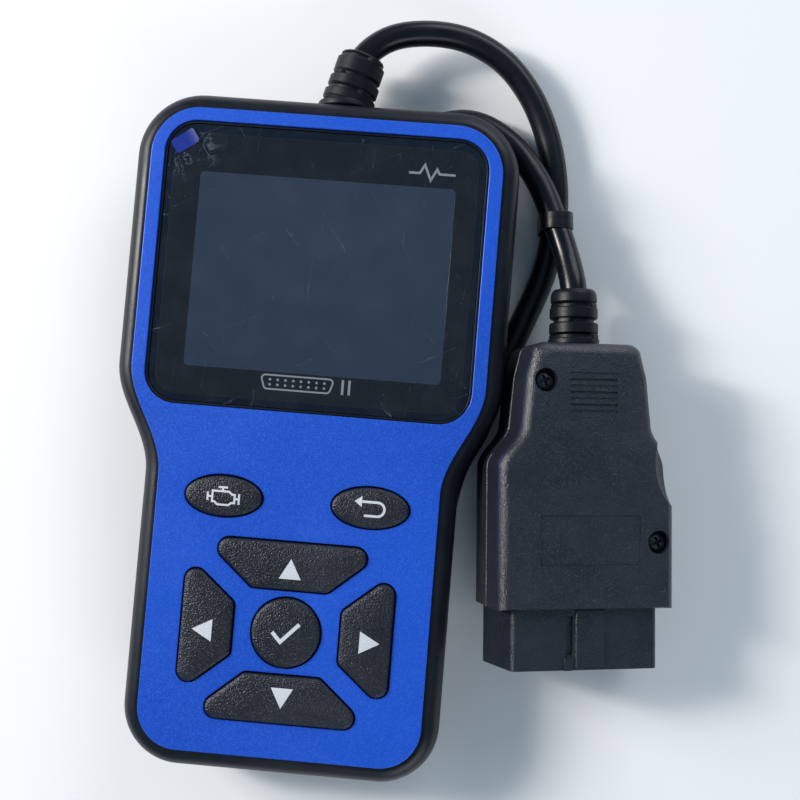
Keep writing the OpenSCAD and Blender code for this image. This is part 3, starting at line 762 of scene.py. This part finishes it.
PRINT_LOW, PRINT_HIGH = LENS_TOP - 0.02, LENS_TOP + 0.012
socket_outline = soft_polygon([(-11, 10.7), (5.6, 10.7), (6.8, 14.3), (-12.2, 14.3)], [0.9] * 4, steps=4)
socket_print = stroke(socket_outline, 0.42, PRINT_LOW, PRINT_HIGH, closed=True)
for y in (11.85, 13.15):
    for i in range(8):
        prism(turned_to(ellipse(0.33, 0.33, 16), 2 * i - 9.7, y), PRINT_LOW, PRINT_HIGH, socket_print)
for x in (9.0, 10.7):
    stroke([(x, 10.6), (x, 14.4)], 0.62, PRINT_LOW, PRINT_HIGH, shape=socket_print)
pulse = [(21.4, 69.1), (24.2, 69.1), (25.4, 71.3), (27.1, 67.4), (28.6, 70.3), (29.3, 69.1), (33.4, 69.1)]
pulse_print = stroke(pulse, 0.6, PRINT_LOW, PRINT_HIGH)

silver_ink, tree, shader = start_material("silver_ink")
grained = use_effect(tree, spark_grain, Size=0.12)
marks = use_effect(tree, handling, Dust=0.2)
speckled = stretched(grained.outputs["Speck"], 0.35, 0.65)
ink = blended(speckled, (0.44, 0.46, 0.5), (0.66, 0.68, 0.72))
dusted(shader, marks, ink, (0.5, 0.5, 0.5))
feed(smudged(marks, 0.42, 0.58), shader.inputs["Roughness"])
for name, shape in (("socket_print", socket_print), ("pulse_print", pulse_print)):
    put_on(add_solid(name, shape), silver_ink, "label_silver", corner=None)

# ---- Protective film
# A clear film still on the lens, with its blue pull tab folded up at one corner. The film is
# nearly unseen, but for its cut edge, a few creases by the tab and the dust on it.

film = plate("lens_film", [soft_rect(-39.4, 7.7, 39.4, 75.5, 5.7)], LENS_TOP + 0.015, LENS_TOP + 0.13, 0.02)
film_clear, tree, shader = start_material("film_clear")
marks = use_effect(tree, handling, Dust=0.7)
creases = local_node(tree, "TexNoise", Scale=170.0, Detail=3.0, Distortion=1.6)
ridge = arithmetic("ABSOLUTE", arithmetic("SUBTRACT", creases.outputs["Fac"], 0.5))
crease = stretched(ridge, 0.0, 0.025, 1.0, 0.0)
tab_distance = local_node(tree, "VectorMath", operation="DISTANCE")
tab_distance.inputs[1].default_value = (-0.037, 0.073, 0.0233)
near_tab = stretched(tab_distance.outputs["Value"], 0.002, 0.011, 0.42, 0.0)
edge = stretched(upwards(tree), 0.55, 0.95, 0.4, 0.0)
creased = arithmetic("MULTIPLY", crease, near_tab)
seen = arithmetic("ADD", arithmetic("ADD", creased, edge), 0.03)
dusty = arithmetic("ADD", seen, arithmetic("MULTIPLY", marks.outputs["Dust"], 0.3))
feed(arithmetic("MINIMUM", dusty, 1.0), shader.inputs["Alpha"])
dusted(shader, marks, (0.2, 0.25, 0.32), (0.5, 0.53, 0.56))
feed(smudged(marks, 0.12, 0.24), shader.inputs["Roughness"])
put_on(film, film_clear, "film_clear", "screen_film")

TAB_AT = placed(-37, 73, 0, 35)
tab_rings = []
for i in range(15):
    along = -3.4 + 6.8 * i / 14
    lift = 0.55 * max(0, (along - 0.4) / 3) ** 2
    half = 2 - 0.5 * max(0, abs(along) / 3.4 - 0.86) / 0.14
    base = LENS_TOP + 0.14 + lift
    tab_rings.append([(along, y, base + z) for y, z in ((-half, 0), (half, 0), (half, 0.08), (-half, 0.08))])
tab = add_solid("film_tab_strip", loft(tab_rings), TAB_AT)
tab_blue = moulded(
    "tab_blue", (0.003, 0.014, 0.15), (0.006, 0.024, 0.24), 0.3, grain=0.9, depth=0.004, dust=0.2
)
put_on(tab, tab_blue, "tab_blue", "film_tab", corner=40)

# ---- Keys
# Seven silicone rubber keys with a coarse spark grain, rounded shoulders and a slight crown.
# Each has a flange under the plate and a plunger over its contact, and one printed sign.

KEY_SHOULDER, KEY_EDGE, KEY_CROWN = 24.15, 25.02, 0.36
key_rubber = moulded(
    "key_rubber", (0.004, 0.0055, 0.0105), (0.011, 0.0135, 0.023), 0.36,
    grain=0.44, depth=0.2, dust=0.15, gloss=0.44,
)


def key_body(name, outline, spot, plunger):
    """A key from its outline at a given growth, its place and turn, and its plunger's place."""
    rings = []
    for grow, z in ((0.4, 18.9), (0.5, 19.0), (0.5, 19.8), (0.4, 19.9), (0, 19.9), (0, KEY_SHOULDER)):
        rings.append(at_height(outline(grow), z))
    for i in range(1, 6):
        angle = radians(15 * i)
        rings.append(at_height(outline(-1.2 * (1 - cos(angle))), KEY_SHOULDER + 0.87 * sin(angle)))
    brim = outline(-1.15)
    px, py = plunger
    for share in (0.98, 0.94, 0.86, 0.74, 0.6, 0.45, 0.3, 0.15):
        height = KEY_EDGE + KEY_CROWN * (1 - share**2)
        rings.append([(px + (x - px) * share, py + (y - py) * share, height) for x, y in brim])
    x, y, degrees = spot
    key_frame = placed(x, y, 0, degrees)
    key = add_solid(name, loft(rings), key_frame)
    return carve(key, disc(px, py, 2.5, 18.1, 19.2, 36), how="UNION", frame_matrix=key_frame)


def drape(shape, surface, step):
    """Lays a thin print, drawn about z = 0, on a key's crown, after cutting it into a grid."""
    for axis in ((1, 0, 0), (0, 1, 0)):
        spots = [v.co.dot(Vector(axis)) for v in shape.verts]
        at = min(spots) + step
        while at < max(spots):
            geometry = shape.verts[:] + shape.edges[:] + shape.faces[:]
            bmesh.ops.bisect_plane(shape, geom=geometry, plane_co=Vector(axis) * at, plane_no=axis)
            at += step
    for vertex in shape.verts:
        x, y, z = vertex.co
        hit = surface.ray_cast(Vector((x * MM, y * MM, 0.03)), Vector((0, 0, -1)))[0]
        vertex.co.z = hit.z / MM + z
    return shape


SIGN_LOW, SIGN_HIGH = -0.03, 0.02


def triangle_sign(x, y, turn):
    """The arrow keys' sign, a triangle 5.6 mm wide, pointing the way its key goes."""
    return prism(turned_to([(-2.8, -2.55), (2.8, -2.55), (0, 2.55)], x, y, turn), SIGN_LOW, SIGN_HIGH)


def tick_sign(x, y):
    """A tick, for accepting a choice."""
    return stroke(turned_to([(-3.3, 0.1), (-1.1, -2.2), (3.4, 2.5)], x, y), 0.95, SIGN_LOW, SIGN_HIGH)


def engine_sign(x, y):
    """An engine in outline, for stored trouble codes."""
    block = [
        (-2.7, 1.2), (1.5, 1.2), (2.3, 0.5), (3.0, 0.5), (3.0, -1.6),
        (2.2, -1.6), (1.5, -2.2), (-1.3, -2.2), (-2.1, -1.5), (-2.7, -1.5),
    ]
    lines = [
        [(-3.9, 0.8), (-3.9, -1.3)], [(-3.65, -0.25), (-2.95, -0.25)], [(-1.3, 2.2), (1.1, 2.2)],
        [(-0.1, 1.96), (-0.1, 1.44)], [(4.1, 0.8), (4.1, -1.9)], [(3.85, -0.55), (3.25, -0.55)],
    ]
    shape = stroke(turned_to(block, x, y), 0.5, SIGN_LOW, SIGN_HIGH, closed=True)
    for line in lines:
        stroke(turned_to(line, x, y), 0.5, SIGN_LOW, SIGN_HIGH, shape=shape)
    return shape


def return_sign(x, y):
    """A hooked arrow that points back, for leaving a menu."""
    hook = [(-1.6, -1.75), (1.7, -1.75)] + arc(1.7, 0, 1.75, -80, 80, 10) + [(1.7, 1.75), (-2.3, 1.75)]
    shape = stroke(turned_to(hook, x, y), 0.62, SIGN_LOW, SIGN_HIGH)
    head = turned_to([(-4.2, 1.75), (-2.35, 0.35), (-2.35, 3.15)], x, y)
    return prism(head, SIGN_LOW, SIGN_HIGH, shape)


signs = {
    "up": triangle_sign(0, -34.3, 0),
    "down": triangle_sign(0.4, -66.6, 180),
    "left": triangle_sign(-21.1, -51.2, 90),
    "right": triangle_sign(21.3, -51.0, -90),
    "ok": tick_sign(0, KEYPAD_Y),
    "codes": engine_sign(-18.7, -17.4),
    "back": return_sign(18.9, -17.6),
}
for body, (outline, spot, plunger) in keys.items():
    key = key_body(body + "_key_cap", outline, spot, plunger)
    points = [v.co.copy() for v in key.data.vertices]
    surface = BVHTree.FromPolygons(points, [p.vertices[:] for p in key.data.polygons])
    put_on(key, key_rubber, "key_rubber", body + "_key", body=body, corner=40)
    sign = add_solid(body + "_sign", drape(signs[body], surface, 0.75))
    put_on(sign, silver_ink, "label_silver", body=body, corner=None)

# ---- Case, rear half
# The other black moulding: a foot tapering in from the parting line all round, with six
# counterbored screw holes and a shallow bed for the rating label.

FOOT_INSET = 7.4
SCREW_SEAT = 3.2
# Each ring's inset, height and corner radii at the screen end and the keypad end
rear_profile = [
    (8.7, 0, 18.9, 18.9), (7.9, 0.25, 19.6, 19.6), (7.45, 0.9, 20, 20), (7.4, 2, 20, 20), (7.4, 6.4, 20, 20),
    (6.9, 7.6, 19.6, 19.3), (5.4, 9, 18.4, 17.4), (3.2, 10.7, 17.2, 15.4), (1.3, 11.8, 16.4, 14.4),
    (0.9, 11.95, 16.1, 14.1),
]
rear = add_solid(
    "case_rear", loft([at_height(case_outline(d, top, end), z) for d, z, top, end in rear_profile])
)
hollow = loft([
    at_height(case_outline(FOOT_INSET + 2.2, 17.8, 17.8), 2.2),
    at_height(case_outline(FOOT_INSET + 2.2, 17.8, 17.8), 7.2),
    at_height(case_outline(3.6, 15, 13), 12.3),
])
carve(rear, hollow)
for x, y in screw_spots:
    carve(rear, disc(x, y, 3.7, 2, 15.1), how="UNION")
for x, y in screw_spots:
    carve(rear, disc(x, y, 2.9, -1, SCREW_SEAT), disc(x, y, 1.6, -1, 16))
label_bed = prism(soft_rect(-28.2, 0.8, 28.2, 39.2, 1.2), -1, 0.4)
carve(rear, label_bed, exit_drill(LEAD_HOLE, 76, 90))
carve(rear, exit_drill(6.7, 79.2, 83.2))
put_on(rear, case_plastic, "case_black", "rear_shell")

rating = plate("rating_label", [soft_rect(-28, 1, 28, 39, 1.1)], 0.1, 0.4, 0.03)
foil, tree, shader = start_material("label_foil")
marks = use_effect(tree, handling, Dust=0.2)
brushing = local_node(tree, "Mapping", Scale=(60, 6000, 1))
hairlines = add_node(tree, "TexNoise", Scale=1.0, Detail=3.0)
feed(brushing.outputs["Vector"], hairlines.inputs["Vector"])
foil_colour = blended(hairlines.outputs["Fac"], (0.38, 0.39, 0.41), (0.56, 0.57, 0.59))
dusted(shader, marks, foil_colour, (0.5, 0.5, 0.5))
feed(smudged(marks, 0.3, 0.42), shader.inputs["Roughness"])
bumped(shader, hairlines.outputs["Fac"], 0.002)
shader.inputs["Metallic"].default_value = 0.6
put_on(rating, foil, "label_silver", "rear_label")

# ---- Case screws
# Six zinc-plated pan-head screws with cross recesses, driven up through the rear half into
# the front half's pillars.


def oblong(x0, y0, x1, y1):
    return [(x0, y0), (x1, y0), (x1, y1), (x0, y1)]


def screw(head, tip, radius, shank, turn, frame_matrix, up=1):
    """A pan-head screw: its head's seat, height and radius, its tip, and its shank's radius."""
    seat, height = head
    profile = [(0.25, tip), (shank, tip + up * -shank * 0.9), (shank, seat), (radius - 0.1, seat)]
    profile += [(radius, seat + up * 0.12), (radius, seat + up * height * 0.45)]
    profile += [
        (radius - 0.75 * radius * (1 - cos(a)), seat + up * height * (0.45 + 0.55 * sin(a)))
        for a in (radians(25), radians(50), radians(75), radians(90))
    ]
    body = add_solid("screw", loft([at_height(ellipse(r, r, 36), z) for r, z in profile]), frame_matrix)
    crown = seat + up * height
    cutters = []
    for quarter in (turn, turn + 90):
        wide = turned_to(oblong(-1.55, -0.3, 1.55, 0.3), 0, 0, quarter)
        small = turned_to(oblong(-0.9, -0.2, 0.9, 0.2), 0, 0, quarter)
        cutters.append(loft([at_height(small, crown - up * 0.95), at_height(wide, crown + up * 0.1)]))
    return carve(body, *cutters, frame_matrix=frame_matrix)


def join(name, pieces):
    """Puts several pieces into one object."""
    shape = bmesh.new()
    for piece in pieces:
        piece.data.transform(piece.matrix_world)
        shape.from_mesh(piece.data)
        bpy.data.objects.remove(piece)
    return show_mesh(name, shape)


def plated(name, dark, light, roughness):
    """A plated metal, duller in the corners of its cloudy finish."""
    material, tree, shader = start_material(name)
    grained = use_effect(tree, spark_grain, Size=0.5)
    marks = use_effect(tree, handling, Dust=0.1)
    speckled = stretched(grained.outputs["Speck"], 0.35, 0.65)
    feed(blended(speckled, dark, light), shader.inputs["Base Color"])
    feed(smudged(marks, roughness - 0.07, roughness + 0.07), shader.inputs["Roughness"])
    bumped(shader, grained.outputs["Height"], 0.004)
    shader.inputs["Metallic"].default_value = 1.0
    return material


rear_screws = [
    screw((SCREW_SEAT, 1.9), 18.9, 2.6, 1.3, 17 * i, placed(x, y, 0), up=-1)
    for i, (x, y) in enumerate(screw_spots)
]
zinc = plated("zinc_plate", (0.3, 0.31, 0.33), (0.5, 0.51, 0.53), 0.32)
put_on(join("case_screw_set", rear_screws), zinc, "screw_steel", "case_screws")

# ---- Inside the case
# The display in its pressed frame, the circuit board with its chips, socket, sounder and key
# contacts, the rubber mat under the keys, and the lead's red cores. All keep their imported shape.


def refinish(node, finish):
    """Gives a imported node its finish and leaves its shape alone."""
    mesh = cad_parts[node].data
    mesh.materials.clear()
    mesh.materials.append(finish)


# Each node's material, its two shades, its roughness, and its grain's size and depth
mouldings = {
    "main_board": ("board_green", (0.006, 0.07, 0.03), (0.012, 0.12, 0.055), 0.3, 1.6, 0.01),
    "board_chips": ("chip_black", (0.009, 0.009, 0.01), (0.02, 0.02, 0.022), 0.5, 0.2, 0.008),
    "board_socket": ("socket_ivory", (0.48, 0.45, 0.36), (0.6, 0.57, 0.47), 0.42, 0.5, 0.008),
    "buzzer": ("buzzer_black", (0.008, 0.008, 0.009), (0.017, 0.017, 0.019), 0.4, 0.4, 0.008),
    "lead_wires": ("core_red", (0.26, 0.012, 0.01), (0.38, 0.025, 0.018), 0.36, 0.7, 0.008),
    "display_ribbon": ("ribbon_amber", (0.28, 0.1, 0.012), (0.4, 0.16, 0.025), 0.28, 2.0, 0.006),
}
for node, recipe in mouldings.items():
    refinish(node, moulded(*recipe))
refinish("keypad_mat", key_rubber)
refinish("lcd_glass", acrylic("display_glass", (0.012, 0.02, 0.028), (0.02, 0.03, 0.04), 0.08))
refinish("lcd_frame", plated("pressed_tin", (0.42, 0.43, 0.45), (0.58, 0.59, 0.61), 0.3))
refinish("contact_pads", plated("pad_gold", (0.62, 0.42, 0.13), (0.8, 0.58, 0.22), 0.26))

# ---- Plug shells
# The plug's black moulding, in two halves that meet half-way up, lies rolled on its side edge.
# The top half has grip lines, an empty label bed, two screw holes and a thumb hollow.

PLUG_HALF = 12.0
PLUG_ROUND = 3.0
PLUG_SCREW_SEAT = PLUG_HALF - 3.2
plug_screw_spots = ((-11.4, 56.8), (18.5, 16.7))


def plug_outline(inset, start=0.0):
    """The plug seen from above: straight sides, drawn in to a neck that takes the lead."""
    wide, neck, tip = 23 - inset, 17.2 - inset, 12 - inset
    sides = [(ease(wide, neck, i / 14), 35 + 11 * i / 14) for i in range(15)]
    end = arc(tip - 1, PLUG_LENGTH - 4 - inset, 4, 35, 90, 6)
    return mirrored([(wide, start)] + sides + [(neck - 1.2, 58)] + end)


def brick(x0, y0, z0, x1, y1, z1):
    return prism(oblong(x0, y0, x1, y1), z0, z1)


def plug_half(name, side, edge_gap):
    """Half the plug's shell; side is 1 for the top half and -1 for the bottom one."""
    profile = [(0.35, edge_gap), (0, edge_gap + 0.35), (0.02, 4), (0.05, PLUG_HALF - PLUG_ROUND - 0.01)]
    for i in range(1, 11):
        angle = radians(9 * i)
        inset = 0.05 + PLUG_ROUND * (1 - cos(angle)) * 0.97
        profile.append((inset, PLUG_HALF - PLUG_ROUND * (1 - sin(angle))))
    rings = []
    for inset, z in profile:
        back = min(PLUG_ROUND * 0.6, 0.6 * max(0, z - PLUG_HALF + PLUG_ROUND) ** 2 / 9)
        rings.append(at_height(plug_outline(inset, back), side * z))
    shell = add_solid(name, loft(rings))
    low, high = sorted((-side, side * (PLUG_HALF - 2.2)))
    wall_block = brick(14.5, 23, -PLUG_HALF, 24.5, 49, PLUG_HALF)
    void = add_solid("void", prism(plug_outline(3, 2.2), low, high))
    carve(void, wall_block)
    hollow = bmesh.new()
    hollow.from_mesh(void.data)
    bmesh.ops.scale(hollow, vec=(1 / MM, 1 / MM, 1 / MM), verts=hollow.verts)
    bpy.data.objects.remove(void)
    carve(shell, hollow)
    for x, y in plug_screw_spots:
        pillar = (0.3, PLUG_HALF - 1.9) if side > 0 else (-PLUG_HALF + 1.9, -0.1)
        carve(shell, disc(x, y, 3.4, *pillar), how="UNION")
    return shell


def shroud_outline(grow, height=9.3):
    """The socket's end view, as (x, z): a D narrower at the top, with rounded corners."""
    foot, top, z = 22 + grow, 19 + grow, height + grow
    corners = [(-foot, -z), (foot, -z), (top, z), (-top, z)]
    return soft_polygon(corners, [radius + max(grow, -1.2) for radius in (2.4, 2.4, 1.6, 1.6)])


plug_top = plug_half("plug_top", 1, 0.06)
plug_bottom = plug_half("plug_bottom", -1, 0.06)
boot_hole = ellipse(LEAD_HOLE, LEAD_HOLE, 48)
for half in (plug_top, plug_bottom):
    carve(half, end_prism(shroud_outline(0.15), -7, 3), end_prism(boot_hole, 59.5, 71.5))
for x, y in plug_screw_spots:
    carve(plug_top, disc(x, y, 1.4, -1, 13), disc(x, y, 2.95, PLUG_SCREW_SEAT, 14))
    carve(plug_bottom, disc(x, y, 1.1, -8, 1))
for i in range(7):
    deep = 0.42 if i % 2 else 0.28
    groove = soft_rect(-5.2, 48.85 + 1.57 * i, 7.4, 49.55 + 1.57 * i, 0.34, steps=4)
    carve(plug_top, prism(groove, PLUG_HALF - deep, PLUG_HALF + 1))
carve(plug_top, prism(soft_rect(-12.8, 11, 13.6, 23.4, 0.4, steps=3), PLUG_HALF - 0.28, 14))
thumb = bmesh.new()
bmesh.ops.create_uvsphere(thumb, u_segments=64, v_segments=40, radius=1)
bmesh.ops.scale(thumb, vec=(11, 13.5, 10), verts=thumb.verts)
bmesh.ops.translate(thumb, vec=(28.4, 36.5, 13), verts=thumb.verts)
carve(plug_top, thumb)
plug_plastic = moulded(
    "plug_plastic", (0.0085, 0.0105, 0.018), (0.016, 0.019, 0.03), 0.3,
    grain=0.34, depth=0.13, gloss=0.58,
)
for piece, node in ((plug_top, "plug_top_shell"), (plug_bottom, "plug_bottom_shell")):
    piece.data.transform(plug_frame)
    put_on(piece, plug_plastic, "plug_black", node, corner=40, width=0.16)

# ---- Plug socket and contacts
# A D-shaped shroud held between the shells, with a keyway slot and a guide block on its
# narrow side, and sixteen tinned blades in two rows standing in its floor.

shroud = add_solid("plug_socket", end_prism(shroud_outline(0), -15, 2))
carve(shroud, end_prism(shroud_outline(-1.5), -16, -2))
carve(shroud, brick(-17, 1.95, -7, 17, 9.95, 7), brick(-5.6, -15, 9, -3.4, -12, 9.85), how="UNION")
guide = end_prism([(-2.6, 9), (5.0, 9), (5.0, 9.55), (4.75, 9.8), (-2.35, 9.8), (-2.6, 9.55)], -14.2, -0.2)
carve(shroud, guide, how="UNION")
carve(shroud, brick(-5.1, -11.4, 8.4, -3.2, -1.4, 11))
contact_spots = [((i - 3.5) * 4, row) for i in range(8) for row in (-4, 4)]
for x, z in contact_spots:
    carve(shroud, brick(x - 1.1, -2.6, z - 0.7, x + 1.1, -1.9, z + 0.7))
shroud_plastic = moulded(
    "shroud_plastic", (0.006, 0.0085, 0.015), (0.012, 0.0155, 0.025), 0.27,
    grain=0.32, depth=0.1, gloss=0.55,
)
shroud.data.transform(plug_frame)
put_on(shroud, shroud_plastic, "shroud_black", "plug_shroud", corner=40, width=0.14)

blade_shape = bmesh.new()
# Each ring's distance, half width and half thickness
blade = [(-2, 0.75, 0.35), (-11.5, 0.75, 0.35), (-12.2, 0.62, 0.25), (-12.5, 0.4, 0.12)]
for x, z in contact_spots:
    loft([
        [(px, y, pz) for px, pz in oblong(x - wide, z - thick, x + wide, z + thick)]
        for y, wide, thick in blade
    ], blade_shape)
tin = plated("contact_tin", (0.6, 0.6, 0.62), (0.76, 0.76, 0.78), 0.24)
blades = add_solid("plug_blades", blade_shape, plug_frame)
put_on(blades, tin, "contact_tin", "contact_pins")

plug_fixings = [
    screw((PLUG_SCREW_SEAT, 1.9), -3, 2.5, 1.05, 20, plug_frame @ placed(x, y, 0))
    for x, y in plug_screw_spots
]
black_zinc = plated("black_zinc", (0.035, 0.036, 0.042), (0.08, 0.082, 0.09), 0.36)
plug_screw_set = join("plug_screw_set", plug_fixings)
put_on(plug_screw_set, black_zinc, "plug_screw_dark", "plug_screws")
